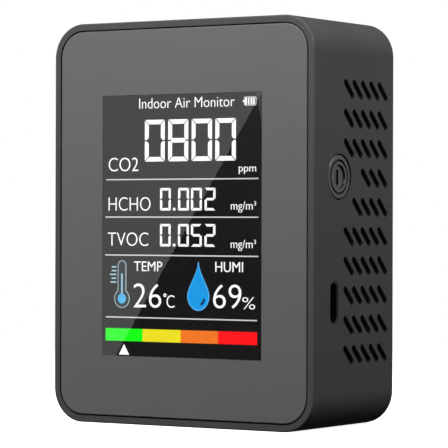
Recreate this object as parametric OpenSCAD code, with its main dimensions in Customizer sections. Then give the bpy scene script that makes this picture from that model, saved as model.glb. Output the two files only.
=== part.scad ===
// Desktop air quality monitor: a deep rounded housing with a framed colour display on the front,
// slanted vents, a power button and a USB-C socket on its right side, and a screwed rear cover.
// Millimetres. Z is up, the display faces -Y, and the origin is the middle of the base.

/* [Housing] */
// Width of the housing
case_w = 64.75; // [64:0.05:66]
// Height of the housing
case_h = 85; // [84.5:0.1:88]
// Depth of the housing, front to back
case_d = 33.3; // [32:0.1:36]
// Radius of the four long corners
corner_r = 7.2; // [6.8:0.1:7.5]
// Thickness of the side walls
wall_t = 2; // [1.9:0.05:2.1]
// Width of the thin rim around the front panel
rim_w = 1.44; // [1.3:0.02:1.6]
// Rounding of the front edge
front_fillet = 0.3; // [0.2:0.05:0.4]
// Rounding of the back edge
back_fillet = 0.6; // [0.3:0.05:0.7]

/* [Front panel] */
// Thickness of the front panel
panel_t = 1.6; // [1.4:0.1:1.8]
// Gap between the panel and the rim
panel_gap = 0.28; // [0.2:0.02:0.36]
// Width of the display window
window_w = 39.8; // [37:0.1:40]
// Height of the display window
window_h = 55.1; // [52:0.1:55.4]
// Height of the window's middle above the base
window_z = 41.95; // [41.5:0.05:42.5]

/* [Vents] */
// Rows of vent slots on each side
vent_rows = 10; // [4:1:10]
// Slots in a full row
vent_columns = 5; // [2:1:5]
// Distance between rows
vent_row_pitch = 6.1; // [5.8:0.02:6.12]
// Distance between slots in a row
vent_pitch = 3.55; // [3.3:0.05:3.55]
// Width of a slot
vent_w = 1.45; // [1.2:0.05:1.6]

/* [Power button] */
// Radius of the button cap
button_r = 4.55; // [4.4:0.05:4.8]
// Height of the button's middle above the base
button_z = 52.1; // [51.5:0.1:53]
// Distance that the button travels
button_travel = 0.4; // [0.2:0.05:0.4]

/* [USB-C socket] */
// Height of the socket's middle above the base
usb_z = 26.3; // [25:0.1:28]

/* [Battery] */
// Width of the pouch cell
cell_w = 34; // [30:0.5:34]
// Height of the pouch cell
cell_h = 50; // [44:0.5:50]
// Thickness of the pouch cell
cell_t = 10; // [6:0.5:11]

/* [Hidden] */
$fn = 48;

// How far a cut runs past the faces it opens, and how deep a post is rooted in its wall
cut = 1;
root = 0.5;

// Depths are measured back from the front face.
front = -case_d / 2;
tape_t = 0.15;
tape_margin = 6;
front_wall_depth = panel_t + tape_t;
front_wall_t = 1.4;
cavity_depth = front_wall_depth + front_wall_t;

panel_inset = rim_w + panel_gap;
panel_w = case_w - 2 * panel_inset;
panel_h = case_h - 2 * panel_inset;
panel_r = corner_r - panel_inset;
panel_fillet = 0.2;

// The display stack: a thin lens in the window, and the glass in a pocket behind the panel
lens_t = 0.7;
lens_clearance = 0.05;
gasket_t = 0.1;
gasket_in = 0.3;
glass_depth = lens_t + gasket_t;
glass_w = window_w + 3.6;
glass_h = window_h + 4.9;
glass_t = 1.3;
pocket_gap = 0.2;
guide_depth = glass_depth + glass_t;
guide_t = 1.6;
guide_drop = 2.4;
frame_clearance = 0.2;
frame_wall = 0.6;
frame_w = glass_w + 2 * (frame_clearance + frame_wall);
frame_h = glass_h + 2 * (frame_clearance + frame_wall);
frame_depth = panel_t + 0.1;
frame_floor = 0.45;
frame_back = guide_depth + guide_t + frame_floor;
frame_opening_gap = 0.6;

// The circuit board stands on four posts behind the front wall.
board_t = 1.6;
board_depth = 9.75;
board_back = board_depth + board_t;
board_w = case_w - 8.3;
board_h = case_h - 7;
board_z = case_h / 2;
board_notch_w = 5.3;
board_notch_h = 5.5;
board_screw_x = board_w / 2 - 2.4;
board_screw_zs = [14, 70];
board_post_r = 2.4;
board_hole_r = 1.1;
board_pilot_r = 1;
board_screw_r = 0.95;
board_screw_l = 6;

// The ribbon runs from the foot of the glass, round a half turn, to a socket on the board.
ribbon_w = 16;
ribbon_t = 0.15;
ribbon_front = guide_depth;
ribbon_back = board_depth - 1.15;
ribbon_mid = (ribbon_front + ribbon_back) / 2;
ribbon_bend = (ribbon_back - ribbon_front) / 2;
ribbon_turn_z = window_z - glass_h / 2 - 0.6;
ribbon_rise = 6;
ribbon_room = 0.8;
ribbon_bond = 0.4;
ribbon_socket_t = 2.1;
ribbon_socket_z = ribbon_turn_z + ribbon_rise - 0.5;

// The rear cover lies in a step of the housing and is screwed to four corner columns.
cover_t = 2;
cover_sink = 0.3;
cover_gap = 0.15;
cover_rim = 1.2;
cover_depth = case_d - cover_sink - cover_t;
cover_w = case_w - 2 * (cover_rim + cover_gap);
cover_h = case_h - 2 * (cover_rim + cover_gap);
cover_r = corner_r - cover_rim - cover_gap;
cover_fillet = 0.3;
cover_screw_in = 0.75 * corner_r;
cover_screw_x = case_w / 2 - cover_screw_in;
cover_screw_zs = [cover_screw_in, case_h - cover_screw_in];
column_r = 3;
cover_pilot_r = 1.2;
cover_pilot_l = 14;
cover_screw_r = 1.15;
cover_hole_r = 1.4;
cover_head_r = 2.1;
cover_bore_r = 2.4;
cover_bore_h = 1.3;
cover_screw_l = 9;
lip_t = 1;
lip_h = 2;
lip_l = 40;

// Vents: the upper end of the first slot, and the step from a slot's upper end to its lower end.
// A slot with an end nearer to the button's middle than vent_clear_r is left out.
vent_first = [-4, 71.6];
vent_slant = [2.85, -2.68];
vent_clear_r = 6.5;
screen_t = 0.4;
screen_margin = 1;
screen_gap = 0.3;

// Power button and the switch behind it, along X
button_y = -6.45;
button_at = [button_y, button_z];
button_gap = 0.27;
button_sink = 0.1;
button_face = case_w / 2 - button_sink;
button_round = 0.3;
inner_x = case_w / 2 - wall_t;
flange_r = button_r + 0.9;
flange_t = 0.8;
flange_x = inner_x - 0.1 - flange_t;
stem_r = 1.5;
board_edge = board_w / 2;
switch_front = board_edge - 1;
switch_l = 3.6;
switch_w = 6;
switch_t = 3.5;
switch_gap = 0.1;
plunger_r = 0.9;
plunger_out = 1;
plunger_end = switch_front + plunger_out;
plunger_gap = 0.05;
plunger_l = 2;

// The power symbol: a groove around a raised ring, a recess inside the ring, and a bar in the recess
symbol_depth = 0.45;
symbol_draft = 0.15;
groove_in = 3.15;
groove_out = 3.65;
recess_r = 2.55;
symbol_bar = [3, 0.7];

// USB-C socket
usb_w = 8.94;
usb_t = 3.26;
usb_solder = 0.02;
usb_y = front + board_depth - usb_t / 2 - usb_solder;
usb_l = 7.3;
usb_wall = 0.3;
usb_sink = 0.15;
usb_clearance = 0.07;
usb_mouth = case_w / 2 - usb_sink;
usb_back = usb_mouth - usb_l;

// Battery and its leads
cell_x = -5.5;
cell_z = 50;
pad_t = 0.8;
cell_depth = board_back + pad_t;
lead_r = 0.6;
lead_bend = 1.5;
lead_y = front + board_back + 2.4;
plug_x = 16;
plug_z = 67;
lead_pitch = 2;

black = [0.08, 0.08, 0.09];
silver = [0.78, 0.78, 0.8];
case_grey = [0.25, 0.25, 0.26];

// ---- Shared shapes ----

// Stands a flat outline (x across, y up) at a depth behind the front face.
module slab(depth, thick) {
    translate([0, front + depth + thick, 0])
        rotate([90, 0, 0])
            linear_extrude(thick)
                children();
}

// Extrudes an outline drawn in (Y, Z) from x_from to x_to.
module side_slab(x_from, x_to) {
    translate([x_from, 0, 0])
        rotate([90, 0, 90])
            linear_extrude(x_to - x_from)
                children();
}

// A cylinder along Y, from a depth behind the front face.
module depth_rod(x, z, r, depth, length) {
    translate([x, front + depth, z])
        rotate([-90, 0, 0])
            cylinder(r = r, h = length);
}

// A block given by its middle in X and Z, and its depth.
module block(x, z, w, h, depth, thick) {
    translate([x - w / 2, front + depth, z - h / 2])
        cube([w, thick, h]);
}

// Sweeps a profile around a rounded rectangle. In the profile, x = r is the outer face,
// x = 0 is the corner's centre line, and y points to the front.
module sweep_around(w, h, r) {
    for (quarter = [0 : 3]) {
        across = quarter % 2 == 0 ? w / 2 - r : h / 2 - r;
        along = quarter % 2 == 0 ? h / 2 - r : w / 2 - r;
        rotate([0, 0, 90 * quarter]) {
            translate([across, along, 0])
                rotate_extrude(angle = 90)
                    children();
            translate([across, along, 0])
                rotate([90, 0, 0])
                    linear_extrude(2 * along)
                        children();
        }
    }
}

// A section w wide and t deep, whose outer edge is rounded at the front and at the back.
module rounded_section(w, t, front_r, back_r) {
    inner = max(front_r, back_r);
    translate([0, back_r - t / 2])
        square([w, t - front_r - back_r]);
    translate([0, -t / 2])
        square([w - inner, t]);
    translate([w - front_r, t / 2 - front_r])
        circle(front_r);
    translate([w - back_r, back_r - t / 2])
        circle(back_r);
    if (front_r < back_r)
        translate([0, t / 2 - back_r])
            square([w - front_r, back_r]);
}

// A plate with round corners and one rounded edge, at a depth behind the front face.
module rounded_plate(w, h, r, depth, thick, edge_r, edge_in_front) {
    translate([0, front + depth + thick / 2, case_h / 2])
        rotate([edge_in_front ? 90 : -90, 0, 0]) {
            sweep_around(w, h, r) {
                square_edge_section(r, thick, edge_r);
            }
            translate([r - w / 2, r - h / 2, -thick / 2])
                cube([w - 2 * r, h - 2 * r, thick]);
        }
}

module square_edge_section(w, t, edge_r) {
    translate([0, -t / 2])
        square([w, t - edge_r]);
    translate([0, -t / 2])
        square([w - edge_r, t]);
    translate([w - edge_r, t / 2 - edge_r])
        circle(edge_r);
}

// A stadium outline, long in y.
module stadium(w, h) {
    square([w, h - w], center = true);
    for (side = [-1, 1])
        translate([0, side * (h - w) / 2])
            circle(w / 2);
}

module window_outline(w, h) {
    translate([0, window_z])
        square([w, h], center = true);
}

// ---- Housing ----

module wall_section() {
    difference() {
        rounded_section(corner_r, case_d, front_fillet, back_fillet);
        translate([-cut, case_d / 2 - front_wall_depth])
            square([corner_r - rim_w + cut, front_wall_depth + cut]);
        translate([-cut, -case_d / 2 - cut])
            square([corner_r - wall_t + cut, case_d - cavity_depth + cut]);
        translate([-cut, -case_d / 2 - cut])
            square([corner_r - cover_rim + cut, cover_sink + cover_t + cut]);
    }
}

function slot_clear(upper) =
    norm(upper - button_at) > vent_clear_r && norm(upper + vent_slant - button_at) > vent_clear_r;

// The slots of one side. Slots that would meet the button are left out.
module vent_slots(around_button) {
    angle = atan2(vent_slant[0], -vent_slant[1]);
    for (row = [0 : vent_rows - 1], column = [0 : vent_columns - 1]) {
        upper = vent_first + [column * vent_pitch, -row * vent_row_pitch];
        if (!around_button || slot_clear(upper))
            translate(upper + vent_slant / 2)
                rotate(angle)
                    stadium(vent_w, norm(vent_slant) + vent_w);
    }
}

module housing_shell() {
    difference() {
        union() {
            translate([0, 0, case_h / 2])
                rotate([90, 0, 0])
                    sweep_around(case_w, case_h, corner_r)
                        wall_section();
            slab(front_wall_depth, front_wall_t)
                translate([0, case_h / 2])
                    square([case_w - 2 * corner_r, case_h - 2 * corner_r], center = true);
        }
        slab(front_wall_depth - cut, front_wall_t + 2 * cut)
            window_outline(frame_w + 2 * frame_opening_gap, frame_h + 2 * frame_opening_gap);
        block(0, ribbon_turn_z, ribbon_w + 2, 2 * (ribbon_bend + ribbon_room),
              front_wall_depth - cut, front_wall_t + 2 * cut);
        side_slab(inner_x - cut, case_w / 2 + cut)
            vent_slots(true);
        side_slab(-case_w / 2 - cut, cut - inner_x)
            vent_slots(false);
        translate([inner_x - cut, button_y, button_z])
            rotate([0, 90, 0])
                cylinder(r = button_r + button_gap, h = wall_t + 2 * cut);
        side_slab(inner_x - cut, case_w / 2 + cut)
            translate([usb_y, usb_z])
                stadium(usb_t + 2 * usb_clearance, usb_w + 2 * usb_clearance);
    }
}

// The mesh glued inside each side wall, behind the vents, with a hole for the button's flange
module screen_outline(around_button) {
    reach = vent_w / 2 + screen_margin;
    last = vent_first + [(vent_columns - 1) * vent_pitch, (1 - vent_rows) * vent_row_pitch]
        + vent_slant;
    low = [vent_first[0] - reach, last[1] - reach];
    high = [last[0] + vent_w / 2, vent_first[1] + reach];
    difference() {
        translate(low)
            square(high - low);
        if (around_button)
            translate(button_at)
                circle(flange_r + screen_gap);
    }
}

module dust_screens() {
    color(black) {
        side_slab(inner_x - screen_t, inner_x)
            screen_outline(true);
        side_slab(-inner_x, screen_t - inner_x)
            screen_outline(false);
    }
}

module board_posts() {
    for (side = [-1, 1], z = board_screw_zs)
        difference() {
            depth_rod(side * board_screw_x, z, board_post_r, cavity_depth - root,
                      board_depth - cavity_depth + root);
            depth_rod(side * board_screw_x, z, board_pilot_r, cavity_depth + root, board_depth);
        }
}

module cover_columns() {
    for (side = [-1, 1], z = cover_screw_zs)
        difference() {
            depth_rod(side * cover_screw_x, z, column_r, cavity_depth - root,
                      cover_depth - cavity_depth + root);
            depth_rod(side * cover_screw_x, z, cover_pilot_r, cover_depth - cover_pilot_l,
                      cover_pilot_l + cut);
        }
}

module housing() {
    color(case_grey)
        union() {
            housing_shell();
            board_posts();
            cover_columns();
        }
}

// ---- Front panel and display ----

module front_panel() {
    color([0.4, 0.4, 0.41])
        difference() {
            rounded_plate(panel_w, panel_h, panel_r, 0, panel_t, panel_fillet, true);
            slab(-cut, panel_t + 2 * cut)
                window_outline(window_w, window_h);
            slab(lens_t, panel_t)
                window_outline(glass_w + 2 * pocket_gap, glass_h + 2 * pocket_gap);
        }
}

module panel_tape() {
    color(black)
        slab(panel_t, tape_t)
            difference() {
                translate([0, case_h / 2])
                    square([panel_w - tape_margin, panel_h - tape_margin], center = true);
                window_outline(frame_w + 2 * frame_opening_gap, frame_h + 2 * frame_opening_gap);
            }
}

module display_lens() {
    color([0.05, 0.05, 0.06])
        slab(0, lens_t)
            window_outline(window_w - 2 * lens_clearance, window_h - 2 * lens_clearance);
}

module display_gasket() {
    color(black)
        slab(lens_t, gasket_t)
            difference() {
                window_outline(glass_w, glass_h);
                window_outline(window_w + gasket_in, window_h + gasket_in);
            }
}

module lcd_glass() {
    color([0.1, 0.12, 0.15])
        slab(glass_depth, glass_t)
            window_outline(glass_w, glass_h);
}

// The light guide ends above the strip where the ribbon is bonded.
module light_guide() {
    color([0.92, 0.93, 0.95])
        slab(guide_depth, guide_t)
            translate([0, window_z + guide_drop / 2])
                square([glass_w, glass_h - guide_drop], center = true);
}

module display_frame() {
    color(silver)
        difference() {
            slab(frame_depth, frame_back - frame_depth)
                window_outline(frame_w, frame_h);
            slab(frame_depth - cut, frame_back - frame_floor - frame_depth + cut)
                window_outline(glass_w + 2 * frame_clearance, glass_h + 2 * frame_clearance);
            block(0, window_z - frame_h / 2, ribbon_w + 1, 2 * (frame_wall + frame_clearance),
                  frame_depth - cut, frame_back - frame_depth - frame_floor + cut);
        }
}

// The ribbon leaves the foot of the glass, turns round under the frame and rises to its socket.
module display_ribbon() {
    color([0.75, 0.45, 0.12])
        side_slab(-ribbon_w / 2, ribbon_w / 2) {
            translate([front + ribbon_front, ribbon_turn_z])
                square([ribbon_t, guide_drop + ribbon_bond]);
            translate([front + ribbon_back - ribbon_t, ribbon_turn_z])
                square([ribbon_t, ribbon_rise]);
            translate([front + ribbon_mid, ribbon_turn_z])
                difference() {
                    circle(ribbon_bend);
                    circle(ribbon_bend - ribbon_t);
                    translate([-2 * ribbon_bend, 0])
                        square(4 * ribbon_bend);
                }
        }
}

module ribbon_connector() {
    color([0.9, 0.88, 0.8])
        difference() {
            block(0, ribbon_socket_z, ribbon_w + 4, 4, board_depth - ribbon_socket_t, ribbon_socket_t);
            block(0, ribbon_socket_z - 1, ribbon_w + 0.4, 4, ribbon_back - ribbon_t - 0.1,
                  ribbon_t + 0.2);
        }
}

// ---- Circuit board ----

module board_outline() {
    difference() {
        translate([0, board_z])
            square([board_w, board_h], center = true);
        for (side = [-1, 1], end = [-1, 1])
            translate([side * board_w / 2, board_z + end * board_h / 2])
                square([2 * board_notch_w, 2 * board_notch_h], center = true);
        translate([switch_front - switch_l - switch_gap, button_z - switch_w / 2 - switch_gap])
            square([2 * switch_l, switch_w + 2 * switch_gap]);
        for (side = [-1, 1], z = board_screw_zs)
            translate([side * board_screw_x, z])
                circle(board_hole_r);
    }
}

module main_board() {
    color([0.05, 0.3, 0.15])
        slab(board_depth, board_t)
            board_outline();
}

// A pan-head screw along +Y whose head starts at the given depth, with a cross recess.
module screw(x, z, shaft_r, shaft_l, head_r, head_h, depth) {
    difference() {
        union() {
            depth_rod(x, z, head_r, depth, head_h);
            depth_rod(x, z, shaft_r, depth - shaft_l, shaft_l + 0.1);
        }
        for (turn = [0, 90])
            translate([x, front + depth + head_h, z])
                rotate([0, turn, 0])
                    cube([1.3 * head_r, 1.2 * head_h, 0.28 * head_r], center = true);
    }
}

module board_screws() {
    color(silver)
        for (side = [-1, 1], z = board_screw_zs)
            screw(side * board_screw_x, z, board_screw_r, board_screw_l, 1.9, 1.3, board_back);
}

// ---- Power button and switch ----

// Half section of the cap, turned about its axis: x is the radius, y points outwards.
// The rim, the groove and the raised ring of the power symbol are in the face.
module cap_section() {
    difference() {
        union() {
            translate([0, flange_x])
                square([flange_r, flange_t]);
            translate([0, flange_x])
                square([button_r, button_face - button_round - flange_x]);
            translate([0, flange_x])
                square([button_r - button_round, button_face - flange_x]);
            translate([button_r - button_round, button_face - button_round])
                circle(button_round);
            translate([0, plunger_end + plunger_gap])
                square([stem_r, flange_x - plunger_end]);
        }
        symbol_groove(groove_in, groove_out);
        symbol_groove(-1, recess_r);
    }
}

// A groove between two radii, whose outer side leans outwards.
module symbol_groove(r_in, r_out) {
    bottom = button_face - symbol_depth;
    top = button_face + cut;
    polygon([[r_in, top], [r_in, bottom], [r_out - symbol_draft, bottom], [r_out, button_face],
             [r_out, top]]);
}

module button_cap() {
    color([0.27, 0.27, 0.28])
        translate([0, button_y, button_z])
            rotate([0, 90, 0])
                union() {
                    rotate_extrude()
                        cap_section();
                    translate([-symbol_bar[0] / 2, -symbol_bar[1] / 2, flange_x + flange_t])
                        cube([symbol_bar[0], symbol_bar[1], button_face - flange_x - flange_t]);
                }
}

module switch_body() {
    color(black)
        difference() {
            union() {
                translate([switch_front - switch_l, button_y - switch_t / 2, button_z - switch_w / 2])
                    cube([switch_l, switch_t, switch_w]);
                for (side = [-1, 1])
                    translate([switch_front - switch_l + 0.6, front + board_back,
                               button_z + side * (switch_w / 2 + 0.4) - 0.9])
                        cube([2.2, 0.4, 1.8]);
            }
            translate([plunger_end - plunger_l - 2 * button_travel, button_y, button_z])
                rotate([0, 90, 0])
                    cylinder(r = plunger_r + 0.1, h = plunger_l + 1);
        }
}

module switch_plunger() {
    color([0.85, 0.85, 0.82])
        translate([plunger_end - plunger_l, button_y, button_z])
            rotate([0, 90, 0])
                cylinder(r = plunger_r, h = plunger_l);
}

// ---- USB-C socket ----

module usb_shell() {
    color(silver)
        union() {
            difference() {
                side_slab(usb_back, usb_mouth)
                    translate([usb_y, usb_z])
                        stadium(usb_t, usb_w);
                side_slab(usb_back - cut, usb_mouth + cut)
                    translate([usb_y, usb_z])
                        stadium(usb_t - 2 * usb_wall, usb_w - 2 * usb_wall);
            }
            for (side = [-1, 1])
                translate([usb_back + 1, usb_y, usb_z + side * (usb_w / 2 - 0.1) - 0.2])
                    cube([1.6, front + board_depth - usb_y, 0.4]);
        }
}

module usb_tongue() {
    plug_gap = 0.05;
    color(black)
        union() {
            side_slab(usb_back, usb_back + 1.6)
                translate([usb_y, usb_z])
                    stadium(usb_t - 2 * usb_wall - 2 * plug_gap, usb_w - 2 * usb_wall - 2 * plug_gap);
            side_slab(usb_back + 1.5, usb_mouth - 0.9)
                translate([usb_y, usb_z])
                    square([0.7, 6.6], center = true);
        }
}

// ---- Battery ----

module battery() {
    color([0.75, 0.76, 0.78])
        union() {
            side_slab(cell_x - cell_w / 2, cell_x + cell_w / 2)
                translate([front + cell_depth + cell_t / 2, cell_z])
                    square([cell_t, cell_h], center = true);
            block(cell_x, cell_z + cell_h / 2 + 0.9, cell_w - 8, 2, cell_depth + 0.5, 4.5);
        }
}

module battery_pad() {
    color([0.2, 0.2, 0.22])
        slab(board_back, pad_t)
            translate([cell_x, cell_z])
                square([cell_w - 6, cell_h - 8], center = true);
}

lead_top_start = cell_z + cell_h / 2 + 1.9;
plug_h = 5;
plug_top = plug_z + plug_h / 2 + 3;

// One lead: up from the cell, over, and down into the plug.
module lead(x_from, x_to, rise) {
    bend_z = lead_top_start + rise;
    translate([x_from, lead_y, lead_top_start])
        cylinder(r = lead_r, h = rise);
    translate([x_to, lead_y, plug_top])
        cylinder(r = lead_r, h = bend_z - plug_top);
    translate([x_from + lead_bend, lead_y, bend_z])
        rotate([90, 0, 180])
            rotate_extrude(angle = 90)
                translate([lead_bend, 0])
                    circle(lead_r);
    translate([x_to - lead_bend, lead_y, bend_z])
        rotate([90, 0, 0])
            rotate_extrude(angle = 90)
                translate([lead_bend, 0])
                    circle(lead_r);
    translate([x_from + lead_bend, lead_y, bend_z + lead_bend])
        rotate([0, 90, 0])
            cylinder(r = lead_r, h = x_to - x_from - 2 * lead_bend);
}

module battery_leads() {
    color("firebrick") {
        lead(plug_x - 10, plug_x - lead_pitch / 2, 0.3);
        lead(plug_x - 10 - lead_pitch, plug_x + lead_pitch / 2, 0.3 + lead_pitch);
    }
}

module battery_plug() {
    color([0.95, 0.94, 0.88])
        union() {
            block(plug_x, plug_z + plug_h / 2 + 1, 6.2, 4, board_back + 0.6, 3.6);
            block(plug_x, plug_z, 5, plug_h, board_back + 0.9, 3);
        }
}

module battery_socket() {
    color([0.92, 0.9, 0.84])
        difference() {
            block(plug_x, plug_z - 0.8, 8, 6.8, board_back, 4.6);
            block(plug_x, plug_z, 5.3, plug_h + 0.2, board_back + 0.8, 3.2);
            block(plug_x, plug_z + plug_h / 2 + 1, 6.6, 4.2, board_back + 0.4, 4);
        }
}

// ---- Sensors and parts on the board ----

sensor_x = 17.4;

module co2_sensor() {
    x = -3;
    z = 14.5;
    color([0.85, 0.72, 0.35])
        difference() {
            union() {
                block(x, z, 32, 19, board_back + 1, 1);
                block(x + 1, z, 26, 15, board_back + 1.9, 7);
                for (side = [-1, 1])
                    block(x, z + side * 8.3, 24, 1.6, board_back, 1.2);
            }
            for (row = [-1, 0, 1])
                block(x + 1, z + 4 * row, 20, 2, board_back + 8.1, 2);
        }
}

module formaldehyde_sensor() {
    x = sensor_x;
    z = 56;
    color([0.95, 0.95, 0.96])
        union() {
            block(x, z, 11, 11, board_back, 1.2);
            difference() {
                depth_rod(x, z, 5.2, board_back + 1, 5);
                depth_rod(x, z, 3.4, board_back + 5.3, 2);
            }
        }
}

module tvoc_sensor() {
    x = sensor_x;
    z = 43;
    color(silver)
        difference() {
            union() {
                depth_rod(x, z, 4.7, board_back, 0.6);
                depth_rod(x, z, 4.1, board_back + 0.5, 5.5);
            }
            depth_rod(x, z, 3, board_back + 5.5, 2);
        }
}

module climate_sensor() {
    x = 24.5;
    z = 21;
    color([0.9, 0.9, 0.92])
        difference() {
            block(x, z, 4, 4, board_back, 1.2);
            depth_rod(x, z, 0.9, board_back + 0.9, 1);
        }
}

// A flat chip with a row of legs on its left and right.
module chip(x, z, w, h, depth, legs) {
    pitch = h / (legs + 1);
    union() {
        block(x, z, w, h, depth - 0.9, 0.8);
        for (side = [-1, 1], leg = [1 : legs])
            block(x + side * (w / 2 + 0.35), z - h / 2 + leg * pitch, 0.9, 0.4 * pitch,
                  depth - 0.3, 0.3);
    }
}

module microcontroller() {
    color(black)
        chip(-12, 47, 7, 7, board_depth, 8);
}

module memory_chip() {
    color(black)
        chip(-12, 34, 4, 5, board_depth, 4);
}

module charger_chip() {
    color(black)
        chip(8, 27, 4, 5, board_depth, 4);
}

module inductor() {
    color([0.22, 0.22, 0.24])
        union() {
            block(16, 27, 4.2, 4.2, board_depth - 1.8, 1.4);
            block(16, 27, 4.6, 3.2, board_depth - 0.5, 0.5);
        }
}

module capacitors() {
    color([0.72, 0.6, 0.42])
        for (column = [0 : 2], row = [0 : 3])
            block(2 + 3.4 * column, 40 + 4 * row, 1.8, 1, board_depth - 0.9, 0.9);
}

module crystal() {
    color(silver)
        union() {
            block(-12, 57, 3.2, 2.5, board_depth - 0.8, 0.8);
            block(-12, 57, 2.8, 2.1, board_depth - 0.95, 0.3);
        }
}

module buzzer() {
    x = sensor_x;
    z = 30.5;
    color(black)
        difference() {
            depth_rod(x, z, 4.5, board_back, 4);
            depth_rod(x, z, 0.8, board_back + 2.5, 3);
        }
}

// ---- Rear cover ----

// A lip along the top and one along the bottom slide inside the housing and locate the cover.
module cover_lips() {
    for (side = [-1, 1])
        block(0, case_h / 2 + side * (case_h / 2 - wall_t - cover_gap - lip_t / 2), lip_l, lip_t,
              cover_depth - lip_h, lip_h + root);
}

module rear_cover() {
    color([0.2, 0.2, 0.21])
        difference() {
            union() {
                rounded_plate(cover_w, cover_h, cover_r, cover_depth, cover_t, cover_fillet, false);
                cover_lips();
            }
            for (side = [-1, 1], z = cover_screw_zs) {
                depth_rod(side * cover_screw_x, z, cover_hole_r, cover_depth - cut,
                          cover_t + 2 * cut);
                depth_rod(side * cover_screw_x, z, cover_bore_r,
                          cover_depth + cover_t - cover_bore_h, cover_bore_h + cut);
            }
        }
}

module cover_screws() {
    head_depth = cover_depth + cover_t - cover_bore_h;
    color(silver)
        for (side = [-1, 1], z = cover_screw_zs)
            screw(side * cover_screw_x, z, cover_screw_r, cover_screw_l, cover_head_r, 1.2, head_depth);
}

housing();
front_panel();
panel_tape();
display_lens();
display_gasket();
lcd_glass();
light_guide();
display_frame();
display_ribbon();
ribbon_connector();
main_board();
board_screws();
button_cap();
switch_body();
switch_plunger();
usb_shell();
usb_tongue();
battery();
battery_pad();
battery_leads();
battery_plug();
battery_socket();
co2_sensor();
formaldehyde_sensor();
tvoc_sensor();
climate_sensor();
microcontroller();
charger_chip();
memory_chip();
inductor();
capacitors();
crystal();
buzzer();
dust_screens();
rear_cover();
cover_screws();
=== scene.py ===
import math

import bpy
from mathutils import Matrix, Quaternion, Vector


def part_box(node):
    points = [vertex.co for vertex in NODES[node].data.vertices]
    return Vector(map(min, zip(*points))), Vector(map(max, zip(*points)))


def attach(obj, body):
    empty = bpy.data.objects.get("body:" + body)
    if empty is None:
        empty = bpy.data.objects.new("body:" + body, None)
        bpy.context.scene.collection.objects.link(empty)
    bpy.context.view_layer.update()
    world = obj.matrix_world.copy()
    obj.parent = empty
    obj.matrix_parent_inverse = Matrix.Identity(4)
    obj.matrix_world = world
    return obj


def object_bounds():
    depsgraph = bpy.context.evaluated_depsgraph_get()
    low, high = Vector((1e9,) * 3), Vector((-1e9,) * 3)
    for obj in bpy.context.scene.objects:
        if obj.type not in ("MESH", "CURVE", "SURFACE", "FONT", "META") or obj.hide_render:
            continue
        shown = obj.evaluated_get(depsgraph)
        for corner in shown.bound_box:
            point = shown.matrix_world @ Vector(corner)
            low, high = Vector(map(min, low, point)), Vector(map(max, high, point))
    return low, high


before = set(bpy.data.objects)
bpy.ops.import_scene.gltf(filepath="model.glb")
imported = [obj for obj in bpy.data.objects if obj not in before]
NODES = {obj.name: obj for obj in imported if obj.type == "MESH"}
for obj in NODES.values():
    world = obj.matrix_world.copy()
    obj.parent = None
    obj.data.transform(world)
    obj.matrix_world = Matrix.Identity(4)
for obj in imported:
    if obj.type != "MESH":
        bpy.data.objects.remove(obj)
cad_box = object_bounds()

MM = 0.001
SCENE = bpy.context.scene

# ---------------------------------------------------------------- camera

CAMERA_AZIMUTH = 32.55
CAMERA_ELEVATION = -0.048
CAMERA_ROLL = 0.174
CAMERA_DISTANCE = 0.5612
CAMERA_LENS = 210.9
CAMERA_SHIFT = (0.0015, -0.00134)


def middle(box):
    return (box[0] + box[1]) / 2


def camera_place():
    """Where the camera stands, and the way it looks."""
    azimuth, elevation = math.radians(CAMERA_AZIMUTH), math.radians(CAMERA_ELEVATION)
    back = Vector((
        math.sin(azimuth) * math.cos(elevation),
        -math.cos(azimuth) * math.cos(elevation),
        math.sin(elevation),
    ))
    return middle(cad_box) + back * CAMERA_DISTANCE, -back


def make_camera():
    place, look = camera_place()
    data = bpy.data.cameras.new("camera")
    data.lens = CAMERA_LENS
    data.sensor_width = 36
    data.shift_x, data.shift_y = CAMERA_SHIFT
    data.clip_start, data.clip_end = 0.05, 20
    camera = bpy.data.objects.new("camera", data)
    camera.location = place
    camera.rotation_mode = "QUATERNION"
    roll = Quaternion((0, 0, 1), math.radians(CAMERA_ROLL))
    camera.rotation_quaternion = look.to_track_quat("-Z", "Y") @ roll
    SCENE.collection.objects.link(camera)
    SCENE.camera = camera


make_camera()

# ---------------------------------------------------------------- node materials


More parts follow.
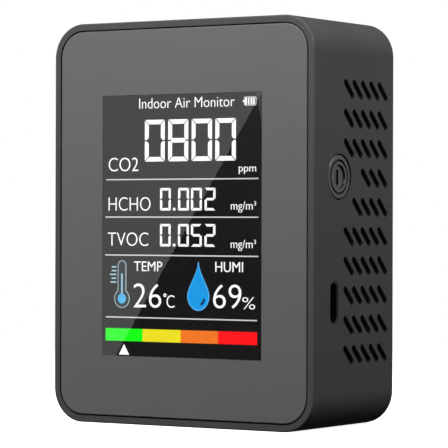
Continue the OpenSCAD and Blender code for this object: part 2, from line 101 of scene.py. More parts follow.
class Paint:
    """Builds one procedural material around a Principled shader, in object coordinates."""

    def __init__(self, name):
        self.material = bpy.data.materials.new(name)
        self.material.use_nodes = True
        self.tree = self.material.node_tree
        self.shader = self.tree.nodes["Principled BSDF"]
        self.place = self.node("ShaderNodeTexCoord").outputs["Object"]

    def node(self, kind, **settings):
        made = self.tree.nodes.new(kind)
        for key, value in settings.items():
            setattr(made, key, value)
        return made

    def link(self, source, target):
        self.tree.links.new(source, target)

    def set(self, **values):
        """Sets the shader's own sockets, by their names with _ for a space."""
        for key, value in values.items():
            self.shader.inputs[key.replace("_", " ")].default_value = value

    def math(self, operation, a, b=0.0):
        made = self.node("ShaderNodeMath", operation=operation)
        for socket, value in zip(made.inputs, (a, b)):
            if isinstance(value, (int, float)):
                socket.default_value = value
            else:
                self.link(value, socket)
        return made.outputs[0]

    def noise(self, size, detail=2.0, stretch=(1, 1, 1), offset=0.0):
        """Soft noise from 0 to 1 whose features are about size metres across."""
        mapping = self.node("ShaderNodeMapping")
        mapping.inputs["Scale"].default_value = stretch
        mapping.inputs["Location"].default_value = (offset,) * 3
        self.link(self.place, mapping.inputs["Vector"])
        made = self.node("ShaderNodeTexNoise")
        made.inputs["Scale"].default_value = 1 / size
        made.inputs["Detail"].default_value = detail
        self.link(mapping.outputs[0], made.inputs["Vector"])
        return made.outputs["Fac"]

    def cells(self, size):
        """Distance from the middle of the nearest of many cells about size metres across."""
        made = self.node("ShaderNodeTexVoronoi", feature="F1")
        made.inputs["Scale"].default_value = 1 / size
        self.link(self.place, made.inputs["Vector"])
        return made.outputs["Distance"]

    def span(self, value, low, high, from_low=0.3, from_high=0.7):
        """Maps value's usual range onto low to high."""
        made = self.node("ShaderNodeMapRange")
        for name, number in (("From Min", from_low), ("From Max", from_high),
                             ("To Min", low), ("To Max", high)):
            made.inputs[name].default_value = number
        self.link(value, made.inputs["Value"])
        return made.outputs[0]

    def blend(self, factor, dark, light):
        """A colour between two, by factor."""
        made = self.node("ShaderNodeMix", data_type="RGBA")
        self.link(factor, made.inputs["Factor"])
        for socket, value in ((made.inputs["A"], dark), (made.inputs["B"], light)):
            if isinstance(value, (tuple, list)):
                socket.default_value = (*value[:3], 1)
            else:
                self.link(value, socket)
        return made.outputs["Result"]

    def add(self, *values):
        total = values[0]
        for value in values[1:]:
            total = self.math("ADD", total, value)
        return total

    def colour(self, source):
        self.link(source, self.shader.inputs["Base Color"])

    def rough(self, source):
        self.link(source, self.shader.inputs["Roughness"])

    def bump(self, height, depth, strength=1.0):
        """Raises the surface by height times depth metres."""
        made = self.node("ShaderNodeBump")
        made.inputs["Strength"].default_value = strength
        made.inputs["Distance"].default_value = depth
        self.link(height, made.inputs["Height"])
        self.link(made.outputs[0], self.shader.inputs["Normal"])


def shade(colour, factor):
    return tuple(min(1.0, c * factor) for c in colour)


def moulded_plastic(name, colour, rough, grain=0.16 * MM, grain_depth=0.012 * MM, mottle=0.06,
                    gloss=0.5):
    """Injection-moulded plastic: a fine spark-eroded grain, faint flow mottling, uneven sheen."""
    paint = Paint(name)
    fine = paint.noise(grain, detail=3)
    flow = paint.noise(9 * MM, detail=3, stretch=(1, 1, 0.5))
    cloud = paint.noise(26 * MM, detail=1, offset=3.1)
    tone = paint.math("MULTIPLY", paint.add(fine, flow, cloud), 1 / 3)
    paint.colour(paint.blend(
        paint.span(tone, 0, 1, 0.38, 0.62), shade(colour, 1 - mottle), shade(colour, 1 + mottle)))
    paint.rough(paint.span(paint.add(fine, flow), rough - 0.05, rough + 0.05, 0.7, 1.3))
    paint.bump(fine, grain_depth)
    paint.set(Specular_IOR_Level=gloss)
    return paint.material


def own_box(node):
    """A CAD node's lowest and highest corner in its own coordinates, the same at every pose."""
    corners = [vertex.co for vertex in NODES[node].data.vertices]
    return [Vector([pick(c[k] for c in corners) for k in range(3)]) for pick in (min, max)]


CAP_BOX = own_box("button_cap")
CAP_FACE = CAP_BOX[1].x
CAP_AXIS = middle(CAP_BOX)
SYMBOL_RADIUS = 3.15 * MM
# Painted shade: below the cap's face, its colour darkens to near black between these two depths.
SHADE_STARTS = 0.1 * MM
SHADE_FULL = 0.35 * MM


def unshaded_cap(paint):
    """Where no painted shade falls: 1 on the cap's face and in its symbol, 0 on steep walls and in the
    groove round the symbol.
    """
    facing = paint.node("ShaderNodeSeparateXYZ")
    paint.link(paint.node("ShaderNodeTexCoord").outputs["Normal"], facing.inputs[0])
    at = paint.node("ShaderNodeSeparateXYZ")
    paint.link(paint.place, at.inputs[0])
    squares = [
        paint.math("POWER", paint.math("SUBTRACT", at.outputs[axis], along), 2)
        for axis, along in (("Y", CAP_AXIS.y), ("Z", CAP_AXIS.z))
    ]
    radius = paint.math("SQRT", paint.add(*squares))
    shallow = paint.span(at.outputs["X"], 0, 1, CAP_FACE - SHADE_FULL, CAP_FACE - SHADE_STARTS)
    in_symbol = paint.math("LESS_THAN", radius, SYMBOL_RADIUS)
    outward = paint.span(facing.outputs["X"], 0, 1, 0.25, 0.6)
    return paint.math("MULTIPLY", outward, paint.math("MAXIMUM", shallow, in_symbol))


def button_plastic(name, colour, painted_shade):
    """Smooth plastic with painted shade, near black, on its steep walls in the gap and in the groove
    round its symbol.
    """
    paint = Paint(name)
    fine = paint.noise(0.1 * MM, detail=3)
    plastic = paint.blend(paint.span(fine, 0, 1), shade(colour, 0.92), shade(colour, 1.08))
    # Painted shade: the near-black colour on the cap's steep walls and in its groove.
    paint.colour(paint.blend(unshaded_cap(paint), painted_shade, plastic))
    paint.rough(paint.span(fine, 0.26, 0.36))
    paint.bump(fine, 0.004 * MM)
    return paint.material


def metal(name, colour, rough, brush=(1, 1, 1), depth=0.004 * MM):
    """Formed or drawn metal with fine scratches along one direction."""
    paint = Paint(name)
    scratch = paint.noise(0.12 * MM, detail=4, stretch=brush)
    stain = paint.noise(4 * MM, detail=3, offset=1.7)
    paint.colour(paint.blend(paint.span(stain, 0, 1), shade(colour, 0.82), shade(colour, 1.06)))
    paint.rough(paint.span(paint.add(scratch, stain), rough - 0.08, rough + 0.1, 0.7, 1.3))
    paint.bump(scratch, depth)
    paint.set(Metallic=1.0)
    return paint.material


def soft_foam(name, colour):
    """Closed-cell foam tape: small round cells in a matt sheet."""
    paint = Paint(name)
    cells = paint.cells(0.35 * MM)
    paint.colour(paint.blend(paint.span(cells, 0, 1, 0.1, 0.7), shade(colour, 0.5), shade(colour, 1.5)))
    paint.rough(paint.span(cells, 0.8, 0.95, 0.1, 0.7))
    paint.bump(cells, 0.05 * MM)
    return paint.material


def solder_mask_board(name):
    """Green solder mask over copper tracks, with a weave of glass cloth below."""
    paint = Paint(name)
    tracks = paint.node("ShaderNodeTexBrick", offset=0.5, squash=1.0)
    tracks.inputs["Scale"].default_value = 260
    tracks.inputs["Mortar Size"].default_value = 0.035
    turn = paint.node("ShaderNodeMapping")
    turn.inputs["Rotation"].default_value = (math.radians(90), 0, 0)
    paint.link(paint.place, turn.inputs["Vector"])
    paint.link(turn.outputs[0], tracks.inputs["Vector"])
    copper = tracks.outputs["Fac"]
    cloth = paint.noise(0.5 * MM, detail=2)
    mask = paint.blend(paint.span(cloth, 0, 1), (0.006, 0.07, 0.026), (0.012, 0.105, 0.04))
    paint.colour(paint.blend(copper, mask, (0.03, 0.2, 0.07)))
    paint.rough(paint.span(cloth, 0.25, 0.4))
    paint.bump(paint.add(copper, paint.math("MULTIPLY", cloth, 0.3)), 0.03 * MM)
    return paint.material


def woven_mesh(name):
    """A dense black dust mesh: two crossing waves of thread."""
    paint = Paint(name)
    split = paint.node("ShaderNodeSeparateXYZ")
    paint.link(paint.place, split.inputs[0])
    pitch = 0.3 * MM
    waves = [
        paint.math("ABSOLUTE", paint.math("SINE", paint.math("MULTIPLY", axis, math.pi / pitch)))
        for axis in (split.outputs["Y"], split.outputs["Z"])
    ]
    weave = paint.math("MULTIPLY", *waves)
    paint.colour(paint.blend(weave, (0.001, 0.001, 0.001), (0.006, 0.006, 0.0065)))
    paint.rough(paint.span(weave, 0.85, 0.95, 0, 1))
    paint.bump(weave, 0.06 * MM)
    paint.set(Specular_IOR_Level=0.2)
    return paint.material


def crinkled_foil(name):
    """The aluminium laminate of a pouch cell, with soft creases."""
    paint = Paint(name)
    crease = paint.noise(5 * MM, detail=5)
    paint.colour(paint.blend(paint.span(crease, 0, 1), (0.42, 0.43, 0.45), (0.62, 0.63, 0.65)))
    paint.rough(paint.span(crease, 0.22, 0.42))
    paint.bump(crease, 0.4 * MM, 0.6)
    paint.set(Metallic=1.0)
    return paint.material


def smoked_lens(name):
    """Polished clear plastic with a faint, uneven grey tint."""
    paint = Paint(name)
    tint = paint.noise(16 * MM, detail=2, stretch=(1, 1, 0.45))
    paint.colour(paint.blend(paint.span(tint, 0, 1), (0.95, 0.955, 0.96), (0.99, 0.99, 0.995)))
    paint.set(Transmission_Weight=1.0, IOR=1.49, Roughness=0.0)
    return paint.material


PIXEL_PITCH = 0.17 * MM


def pixel_grid(paint):
    """1 inside a display pixel, falling to 0 on the thin dark lines between pixels."""
    split = paint.node("ShaderNodeSeparateXYZ")
    paint.link(paint.place, split.inputs[0])
    lines = [
        paint.math("ABSOLUTE", paint.math("SINE", paint.math("MULTIPLY", axis, math.pi / PIXEL_PITCH)))
        for axis in (split.outputs["X"], split.outputs["Z"])
    ]
    return paint.span(paint.math("MINIMUM", *lines), 0, 1, 0.05, 0.3)


def lit_pixels(name, colour, strength=1.0):
    """Light from the display's pixels, seen as a fine grid close up."""
    paint = Paint(name)
    grid = pixel_grid(paint)
    glow = paint.blend(grid, shade(colour, 0.72), colour)
    paint.link(glow, paint.shader.inputs["Emission Color"])
    paint.colour(paint.blend(grid, (0.004, 0.004, 0.004), (0.012, 0.012, 0.012)))
    paint.set(Emission_Strength=strength, Roughness=0.4)
    return paint.material


def dark_display(name):
    """The unlit display: black glass with a trace of backlight, uneven towards its edges."""
    paint = Paint(name)
    grid = pixel_grid(paint)
    bleed = paint.noise(22 * MM, detail=2)
    paint.colour(paint.blend(grid, (0.0015, 0.0015, 0.0017), (0.003, 0.003, 0.0034)))
    glow = paint.blend(paint.span(bleed, 0, 1), (0.85, 0.86, 1.0), (1.0, 1.0, 1.0))
    paint.link(glow, paint.shader.inputs["Emission Color"])
    paint.set(Emission_Strength=0.0055, Roughness=0.25)
    return paint.material


MATERIALS = {
    "housing": moulded_plastic("housing_plastic", (0.065, 0.065, 0.066), 0.55, gloss=0.38),
    "panel": moulded_plastic("panel_plastic", (0.128, 0.128, 0.129), 0.45, 0.12 * MM, 0.006 * MM, 0.03),
    "cover": moulded_plastic("cover_plastic", (0.07, 0.07, 0.071), 0.6, 0.3 * MM, 0.03 * MM),
    # The button's near-black second colour is painted shade for its walls and groove.
    "button": button_plastic("button_plastic", (0.11, 0.11, 0.111), (0.008, 0.008, 0.008)),
    "black": moulded_plastic("black_plastic", (0.012, 0.012, 0.013), 0.5, 0.1 * MM, 0.008 * MM, 0.15),
    "white": moulded_plastic("white_plastic", (0.7, 0.69, 0.65), 0.45, 0.14 * MM, 0.008 * MM, 0.03),
    "ceramic": moulded_plastic("ceramic", (0.42, 0.3, 0.17), 0.6, 0.08 * MM, 0.01 * MM, 0.2),
    "ferrite": moulded_plastic("ferrite", (0.05, 0.05, 0.055), 0.7, 0.1 * MM, 0.02 * MM, 0.25),
    "wire": moulded_plastic("wire_insulation", (0.35, 0.02, 0.02), 0.4, 0.2 * MM, 0.006 * MM, 0.08),
    "ribbon": moulded_plastic("amber_film", (0.4, 0.17, 0.03), 0.25, 0.3 * MM, 0.004 * MM, 0.15),
    "steel": metal("bright_steel", (0.62, 0.62, 0.64), 0.28, (0.1, 1, 1)),
    "screw": metal("black_oxide", (0.09, 0.09, 0.095), 0.4),
    "shell": metal("dark_nickel", (0.14, 0.14, 0.145), 0.35),
    "gold": metal("gold_plate", (0.75, 0.55, 0.24), 0.3),
    "foam": soft_foam("foam_tape", (0.02, 0.02, 0.021)),
    "board": solder_mask_board("circuit_board"),
    "mesh": woven_mesh("dust_mesh"),
    "foil": crinkled_foil("cell_foil"),
    "lens": smoked_lens("smoked_lens"),
    "display": dark_display("dark_display"),
}

NODE_MATERIALS = {
    "housing": ["housing"],
    "panel": ["front_panel"],
    "cover": ["rear_cover"],
    "button": ["button_cap"],
    "black": ["switch_body", "usb_tongue", "microcontroller", "charger_chip", "memory_chip", "buzzer"],
    "white": ["light_guide", "ribbon_connector", "switch_plunger", "battery_plug", "battery_socket",
              "formaldehyde_sensor", "climate_sensor"],
    "ceramic": ["capacitors"],
    "ferrite": ["inductor"],
    "wire": ["battery_leads"],
    "ribbon": ["display_ribbon"],
    "steel": ["display_frame", "board_screws", "tvoc_sensor", "crystal"],
    "screw": ["cover_screws"],
    "shell": ["usb_shell"],
    "gold": ["co2_sensor"],
    "foam": ["panel_tape", "display_gasket", "battery_pad"],
    "board": ["main_board"],
    "mesh": ["dust_screens"],
    "foil": ["battery"],
    "lens": ["display_lens"],
    "display": ["lcd_glass"],
}


def dress(node, material):
    """Gives a CAD node its material."""
    slots = NODES[node].data.materials
    slots.clear()
    slots.append(material)


for material_key, node_names in NODE_MATERIALS.items():
    for node_name in node_names:
        dress(node_name, MATERIALS[material_key])

# ---------------------------------------------------------------- what the display shows

# The image lies in the thin gap between the lens and the display glass. Places on it are in
# millimetres from the window's middle: across, then up.
LENS_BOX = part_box("display_lens")
GLASS_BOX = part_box("lcd_glass")
IMAGE_CLEARANCE = 0.02 * MM
IMAGE_FRONT = LENS_BOX[1].y + IMAGE_CLEARANCE
IMAGE_BACK = GLASS_BOX[0].y - IMAGE_CLEARANCE
IMAGE_MIDDLE = middle(LENS_BOX)
IMAGE_SHIFT = -0.2

INK = {
    "white": lit_pixels("lit_white", (1.0, 1.0, 1.0), 1.25),
    "line": lit_pixels("lit_line", (0.75, 0.75, 0.76), 1.0),
    "green": lit_pixels("lit_green", (0.0, 1.0, 0.0), 1.15),
    "yellow": lit_pixels("lit_yellow", (0.91, 0.79, 0.01), 1.1),
    "orange": lit_pixels("lit_orange", (0.91, 0.19, 0.012), 1.1),
    "red": lit_pixels("lit_red", (1.0, 0.0, 0.003), 1.15),
    "drop": lit_pixels("lit_drop", (0.004, 0.35, 0.87), 1.05),
    "drop_edge": lit_pixels("lit_drop_edge", (0.12, 0.5, 0.92), 1.05),
    "glint": lit_pixels("lit_glint", (0.0, 0.004, 0.03), 1.0),
    "tube": lit_pixels("lit_tube", (0.42, 0.52, 0.56), 1.0),
    "tube_inside": lit_pixels("lit_tube_inside", (0.006, 0.02, 0.03), 1.0),
    "column": lit_pixels("lit_column", (0.32, 0.58, 0.72), 1.0),
    "liquid": lit_pixels("lit_liquid", (0.07, 0.5, 0.88), 1.05),
    "tick": lit_pixels("lit_tick", (0.46, 0.7, 0.8), 1.0),
}


def finish_piece(piece, ink):
    """Puts a display piece in the scene, on the case body."""
    piece.data.materials.append(INK[ink])
    if piece.name not in SCENE.collection.objects:
        SCENE.collection.objects.link(piece)
    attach(piece, "case")
    return piece


def image_point(x, z, depth):
    return Vector((
        IMAGE_MIDDLE.x + (x + IMAGE_SHIFT) * MM, depth, IMAGE_MIDDLE.z + z * MM))


def flat_piece(name, ink, outlines, lift=0.0):
    """Closed thin solids, one for each outline of points that runs round a shape without holes."""
    points, faces = [], []
    front, back = IMAGE_FRONT - lift * MM, IMAGE_BACK - lift * MM
    for outline in outlines:
        start, count = len(points), len(outline)
        points += [image_point(x, z, front) for x, z in outline]
        points += [image_point(x, z, back) for x, z in outline]
        faces.append([start + i for i in range(count)])
        faces.append([start + count + i for i in reversed(range(count))])
        for i in range(count):
            j = (i + 1) % count
            faces.append([start + j, start + i, start + count + i, start + count + j])
    mesh = bpy.data.meshes.new(name)
    mesh.from_pydata(points, [], faces)
    mesh.validate()
    return finish_piece(bpy.data.objects.new(name, mesh), ink)


def ring_piece(name, ink, outer, inner, lift=0.0):
    """A closed thin band between two outlines with the same number of points."""
    bands = []
    count = len(outer)
    for i in range(count):
        j = (i + 1) % count
        bands.append([outer[i], outer[j], inner[j], inner[i]])
    return flat_piece(name, ink, bands, lift)


def rectangle(left, right, bottom, top):
    return [(left, bottom), (right, bottom), (right, top), (left, top)]


def arc(x, z, radius, start, end, steps=16):
    """Points round a circle, from start to end degrees."""
    turns = [math.radians(start + (end - start) * i / steps) for i in range(steps + 1)]
    return [(x + radius * math.cos(t), z + radius * math.sin(t)) for t in turns]


FONT_PROBE = "H"


def text_mesh(body, weight):
    """The letters as a thin mesh, with the baseline at 0."""
    curve = bpy.data.curves.new("letters", "FONT")
    curve.body = body
    curve.offset = weight
    curve.resolution_u = 6
    holder = bpy.data.objects.new("letters", curve)
    SCENE.collection.objects.link(holder)
    graph = bpy.context.evaluated_depsgraph_get()
    mesh = bpy.data.meshes.new_from_object(holder.evaluated_get(graph))
    bpy.data.objects.remove(holder)
    return mesh


def cap_height():
    mesh = text_mesh(FONT_PROBE, 0)
    return max(v.co.y for v in mesh.vertices)


CAP = cap_height()


def text_piece(name, body, left, right, base, top, weight):
    """Letters whose outline runs from left to right and whose capitals stand from base to top."""
    mesh = text_mesh(body, weight)
    low = min(v.co.x for v in mesh.vertices)
    high = max(v.co.x for v in mesh.vertices)
    across, up = (right - left) / (high - low), (top - base) / CAP
    for vertex in mesh.vertices:
        x, z = left + (vertex.co.x - low) * across, base + vertex.co.y * up
        vertex.co = image_point(x, z, IMAGE_FRONT)
    mesh.materials.clear()
    piece = finish_piece(bpy.data.objects.new(name, mesh), "white")
    thicken = piece.modifiers.new("thickness", "SOLIDIFY")
    thicken.thickness = IMAGE_BACK - IMAGE_FRONT
    thicken.offset = -1
    return piece


# Seven-segment digits: which of the segments a to g are lit, clockwise from the top, g in the middle.
SEGMENTS = {"0": "abcdef", "2": "abged", "5": "afgcd", "8": "abcdefg"}


def digit_outlines(digit, left, base, width, height, thick, gap):
    """Mitred segments that meet at the corners of the digit with thin gaps between them."""
    right, top, mid = left + width, base + height, base + height / 2
    half = thick / 2
    g = gap / 2
    shapes = {
        "f": [(left, top - g), (left, mid + g), (left + half, mid + g),
              (left + thick, mid + half + g), (left + thick, top - thick - g)],
        "e": [(left, base + g), (left + thick, base + thick + g), (left + thick, mid - half - g),
              (left + half, mid - g), (left, mid - g)],
        "a": [(left + g, top), (left + thick + g, top - thick), (right - thick - g, top - thick),
              (right - g, top)],
        "d": [(left + g, base), (right - g, base), (right - thick - g, base + thick),
              (left + thick + g, base + thick)],
        "g": [(left + half + g, mid), (left + thick, mid - half), (right - thick, mid - half),
              (right - half - g, mid), (right - thick, mid + half), (left + thick, mid + half)],
    }
    flip = {"b": "f", "c": "e"}
    for name, source in flip.items():
        shapes[name] = [(left + right - x, z) for x, z in reversed(shapes[source])]
    return [shapes[name] for name in SEGMENTS[digit]]


def number_piece(name, digits, lefts, base, width, height, thick, gap, dot=None):
    outlines = []
    for digit, left in zip(digits, lefts):
        outlines += digit_outlines(digit, left, base, width, height, thick, gap)
    if dot:
        outlines.append(rectangle(dot, dot + thick * 1.1, base, base + thick * 1.1))
    return flat_piece(name, "white", outlines)


def show_readouts():
    number_piece("co2_value", "0800", (-9.12, -3.22, 2.65, 8.5), 13.5, 5.0, 8.76, 0.95, 0.3)
    small = (-5.22, -0.68, 2.54, 5.9)
    number_piece("hcho_value", "0002", small, 3.2, 2.66, 4.72, 0.52, 0.2, dot=-1.95)
    number_piece("tvoc_value", "0052", small, -4.32, 2.66, 4.72, 0.52, 0.2, dot=-1.95)
    text_piece("display_title", "Indoor Air Monitor", -10.6, 13.2, 24.65, 26.85, -0.012)
    text_piece("co2_label", "CO2", -18.4, -10.8, 11.5, 14.4, -0.012)
    text_piece("ppm_unit", "ppm", 14.25, 18.45, 11.2, 12.75, -0.005)
    text_piece("hcho_label", "HCHO", -18.4, -7.65, 3.14, 6.05, -0.015)
    text_piece("tvoc_label", "TVOC", -18.55, -8.2, -4.28, -1.4, -0.015)
    for label, base in (("hcho_unit", 3.25), ("tvoc_unit", -4.65)):
        text_piece(label, "mg/m³", 12.35, 18.45, base + 0.1, base + 1.85, -0.008)
    text_piece("temp_label", "TEMP", -11.8, -4.65, -9.57, -7.5, -0.005)
    text_piece("humi_label", "HUMI", 8.6, 15.35, -9.5, -7.4, -0.005)
    text_piece("temp_value", "26", -11.9, -4.9, -17.25, -12.15, -0.012)
    text_piece("humi_value", "69", 8.1, 14.95, -17.05, -12.05, -0.012)
    text_piece("temp_unit", "C", -3.5, -1.55, -17.15, -14.5, -0.012)
    ring_piece("degree_ring", "white", arc(-3.93, -14.55, 0.38, 0, 360), arc(-3.93, -14.55, 0.18, 0, 360))
    text_piece("humi_unit", "%", 15.2, 18.3, -17.1, -14.6, -0.012)


RULE_HALF = 0.13


def show_rules():
    for name, left, right, z in (
        ("rule_co2", -19.0, 19.0, 9.75),
        ("rule_hcho", -19.15, 19.0, 1.82),
        ("rule_tvoc", -19.25, 19.0, -6.22),
        ("rule_climate", -19.0, 18.75, -19.37),
    ):
        flat_piece(name, "line", [rectangle(left, right, z - RULE_HALF, z + RULE_HALF)])


def show_scale():
    """The coloured air quality bar and its pointer."""
    edges = (-19.05, -9.56, 0.04, 9.36, 18.8)
    for i, ink in enumerate(("green", "yellow", "orange", "red")):
        flat_piece(f"scale_{ink}", ink, [rectangle(edges[i], edges[i + 1], -24.4, -21.75)])
    flat_piece("scale_pointer", "white", [[(-15.6, -27.28), (-13.0, -27.28), (-14.3, -25.05)]])


def rounded_box(left, right, bottom, top, radius, steps=5):
    corners = ((right, top, 0), (left, top, 90), (left, bottom, 180), (right, bottom, 270))
    points = []
    for x, z, start in corners:
        inward_x = -radius if x == right else radius
        inward_z = -radius if z == top else radius
        points += arc(x + inward_x, z + inward_z, radius, start, start + 90, steps)
    return points


def show_battery_icon():
    left, right, bottom, top, wall = 15.5, 18.45, 24.75, 26.6, 0.14
    middle_z = (bottom + top) / 2
    ring_piece("battery_outline", "line",
               rounded_box(left, right, bottom, top, 0.3),
               rounded_box(left + wall, right - wall, bottom + wall, top - wall, 0.16))
    bars = [
        rectangle(start, start + width, bottom + 0.2, top - 0.2)
        for start, width in ((15.76, 0.42), (16.44, 0.32), (17.08, 0.4), (17.72, 0.32))
    ]
    flat_piece("battery_bars", "white", bars)
    flat_piece("battery_terminal", "white", [arc(left - 0.06, middle_z, 0.24, 0, 360)[:-1]])


def thermometer_outline(bulb, stem, centre, low, high, inset=0.0):
    """A round bulb joined to a round-topped stem."""
    bulb, stem = bulb - inset, stem - inset
    join = math.degrees(math.acos(stem / bulb))
    round_bulb = arc(centre, low, bulb, 180 - join, 360 + join, 40)
    cap = arc(centre, high - stem - inset, stem, 0, 180, 20)
    return round_bulb + cap


def show_thermometer():
    centre, bulb_z, top = -14.88, -15.42, -7.32
    bulb, stem, wall = 1.98, 1.1, 0.2
    outer = thermometer_outline(bulb, stem, centre, bulb_z, top)
    inner = thermometer_outline(bulb, stem, centre, bulb_z, top, wall)
    ring_piece("thermometer_glass", "tube", outer, inner)
    flat_piece("thermometer_inside", "tube_inside", [inner])
    column = rectangle(centre - 0.24, centre + 0.24, bulb_z + 0.9, bulb_z + 5.3)
    flat_piece("thermometer_column", "column", [column], 0.006)
    flat_piece("thermometer_liquid", "liquid", [arc(centre, bulb_z, 1.06, 0, 360, 32)[:-1]], 0.006)
    tick_end, tick_half, tick_pitch, first_tick = centre - 1.5, 0.15, 0.803, bulb_z + 6.68
    ticks = []
    for i, length in enumerate((1.12, 1.15, 1.6, 1.2, 1.45)):
        z = first_tick - tick_pitch * i
        ticks.append(rectangle(tick_end - length, tick_end, z - tick_half, z + tick_half))
    flat_piece("thermometer_ticks", "tick", ticks)


def curve_points(ends, steps=24):
    """Points of a cubic Bezier curve through four control points."""
    points = []
    for i in range(steps + 1):
        t = i / steps
        weights = ((1 - t) ** 3, 3 * t * (1 - t) ** 2, 3 * t * t * (1 - t), t ** 3)
        points.append(tuple(sum(w * p[k] for w, p in zip(weights, ends)) for k in (0, 1)))
    return points


def drop_outline(centre, foot, inset=0.0):
    """A drop: an elliptical foot, drawn up along hollow sides to a point."""
    half, belly, tip = 2.73 - inset, 3.11 - inset, 10.12 - 4 * inset
    side = curve_points(((half, belly), (0.95 * half, 5.2 - inset), (0.2, 7.6 - inset), (0.09, tip)))
    low = [(half * math.cos(t), belly * (1 - math.sin(t)))
           for t in (math.pi / 2 * (1 - i / 16) for i in range(16))]
    right = low + side
    left = [(-x, z) for x, z in reversed(right)]
    return [(centre + x, foot + inset + z) for x, z in right + left]


def show_drop():
    centre, foot = 4.4, -17.65
    outer, inner = drop_outline(centre, foot), drop_outline(centre, foot, 0.22)
    ring_piece("drop_outline", "drop_edge", outer, inner)
    flat_piece("drop_fill", "drop", [inner])
    glint_z = foot + 2.7
    glint = (arc(centre, glint_z, 1.75, -64, -10, 12)
             + arc(centre - 0.12, glint_z + 0.06, 1.42, -6, -66, 12))
    flat_piece("drop_glint", "glint", [glint], 0.006)


show_readouts()
show_rules()
show_scale()
show_battery_icon()
show_thermometer()
show_drop()

# ---------------------------------------------------------------- studio

# The world's strength as light from all round, and as what glossy surfaces mirror.
AMBIENT = 0.008
MIRRORED = 0.03


def make_world():
    """White behind everything for the camera, and almost dark as a light."""
    world = bpy.data.worlds.new("studio")
    SCENE.world = world
    world.use_nodes = True
    nodes, links = world.node_tree.nodes, world.node_tree.links
    nodes.clear()
    seen, light = nodes.new("ShaderNodeBackground"), nodes.new("ShaderNodeBackground")
    seen.inputs["Color"].default_value = (1, 1, 1, 1)
    light.inputs["Color"].default_value = (1, 1, 1, 1)
    path, mix = nodes.new("ShaderNodeLightPath"), nodes.new("ShaderNodeMixShader")
    out = nodes.new("ShaderNodeOutputWorld")
    strength = nodes.new("ShaderNodeMapRange")
    strength.inputs["To Min"].default_value = AMBIENT
    strength.inputs["To Max"].default_value = MIRRORED
    links.new(path.outputs["Is Glossy Ray"], strength.inputs["Value"])
    links.new(strength.outputs[0], light.inputs["Strength"])
    links.new(path.outputs["Is Camera Ray"], mix.inputs["Fac"])
    links.new(light.outputs[0], mix.inputs[1])
    links.new(seen.outputs[0], mix.inputs[2])
    links.new(mix.outputs[0], out.inputs["Surface"])


FLOOR_RADIUS = 0.6
FLOOR_CLEAR = 0.1
FLOOR_GONE = 0.35
FLOOR_GLOW = 0.93


def floor_material():
    """Pale paper, mostly lit by itself, that fades into the white background round the object."""
    paint = Paint("floor_paper")
    tree = paint.tree
    fibre = paint.noise(1.5 * MM, detail=4)
    paint.colour(paint.blend(paint.span(fibre, 0, 1), (0.86, 0.86, 0.86), (0.9, 0.9, 0.9)))
    paint.set(Roughness=0.9, Specular_IOR_Level=0.1)
    paint.set(Emission_Color=(1, 1, 1, 1), Emission_Strength=FLOOR_GLOW)
    distance = paint.node("ShaderNodeVectorMath", operation="LENGTH")
    paint.link(paint.place, distance.inputs[0])
    fade = paint.span(distance.outputs["Value"], 0, 1, FLOOR_CLEAR, FLOOR_GONE)
    clear = paint.node("ShaderNodeBsdfTransparent")
    mix = paint.node("ShaderNodeMixShader")
    paint.link(fade, mix.inputs["Fac"])
    paint.link(paint.shader.outputs[0], mix.inputs[1])
    paint.link(clear.outputs[0], mix.inputs[2])
    paint.link(mix.outputs[0], tree.nodes["Material Output"].inputs["Surface"])
    return paint.material


def make_floor():
    """A round floor that throws no light back, so the object's lower part stays dark."""
    rim = [(FLOOR_RADIUS * math.cos(a), FLOOR_RADIUS * math.sin(a), 0)
           for a in (2 * math.pi * i / 96 for i in range(96))]
    mesh = bpy.data.meshes.new("floor")
    mesh.from_pydata(rim, [], [list(range(96))])
    mesh.materials.append(floor_material())
    floor = bpy.data.objects.new("floor", mesh)
    floor.visible_diffuse = floor.visible_glossy = floor.visible_transmission = False
    SCENE.collection.objects.link(floor)


def softbox(name, place, side, power):
    """A square area light that the camera doesn't see."""
    data = bpy.data.lights.new(name, "AREA")
    data.shape = "SQUARE"
    data.size = side
    data.energy = power
    light = bpy.data.objects.new(name, data)
    light.location = place
    light.visible_camera = False
    look = middle(cad_box) - Vector(place)
    light.rotation_euler = look.to_track_quat("-Z", "Y").to_euler()
    SCENE.collection.objects.link(light)


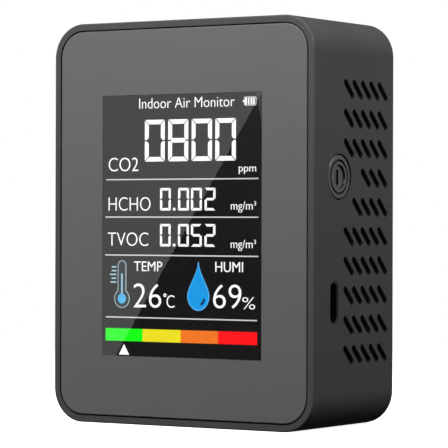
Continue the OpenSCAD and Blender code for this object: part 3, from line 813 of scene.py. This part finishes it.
# Each light's name, place, side and power. All are square and face the object's middle.
LIGHTS = (
    ("key_softbox", (-0.02, -0.24, 0.305), 0.2, 1.36),
    ("fill_softbox", (-0.05, -0.35, 0.2), 0.3, 0.16),
    ("side_softbox", (0.28, 0.04, 0.29), 0.2, 0.95),
    ("strip_softbox", (0.33, 0.42, 0.1), 0.25, 0.07),
    ("back_softbox", (-0.4, 0.36, 0.16), 0.3, 2.5),
)


def make_lights():
    for name, place, side, power in LIGHTS:
        softbox(name, place, side, power)


# A white card is mirrored in the lens as a band with one slanting straight edge. Its edge lies in
# the plane through the mirrored camera and two points of the lens, in millimetres from its middle.
GLARE_TOP = (19.7, 27.1)
GLARE_BOTTOM = (-16.45, -27.7)
CARD_DISTANCE = 0.5
CARD_REACH = 0.35
CARD_RADIANCE = 1.12


def card_material():
    paint = Paint("white_card")
    paint.set(Emission_Color=(1, 1, 1, 1), Emission_Strength=CARD_RADIANCE)
    return paint.material


def make_glare_card():
    mirror_y = LENS_BOX[0].y
    camera = camera_place()[0]
    eye = Vector((camera.x, 2 * mirror_y - camera.y, camera.z))
    card_y = mirror_y - CARD_DISTANCE

    def through(x, z):
        spot = Vector((IMAGE_MIDDLE.x + x * MM, mirror_y, IMAGE_MIDDLE.z + z * MM))
        step = spot - eye
        return spot + step * ((card_y - spot.y) / step.y)

    top, bottom = through(*GLARE_TOP), through(*GLARE_BOTTOM)
    along = (top - bottom).normalized()
    away = Vector((-along.z, 0, along.x))
    if away.x > 0:
        away = -away
    near = [bottom - along * CARD_REACH, top + along * CARD_REACH]
    far = [point + away * CARD_REACH for point in reversed(near)]
    mesh = bpy.data.meshes.new("white_card")
    mesh.from_pydata(near + far, [], [[0, 1, 2, 3]])
    mesh.materials.append(card_material())
    card = bpy.data.objects.new("white_card", mesh)
    SCENE.collection.objects.link(card)
    card.visible_camera = False
    card.visible_diffuse = False
    card.visible_shadow = False
    card.visible_transmission = False


make_world()
make_floor()
make_lights()
make_glare_card()
SCENE.view_settings.view_transform = "Standard"
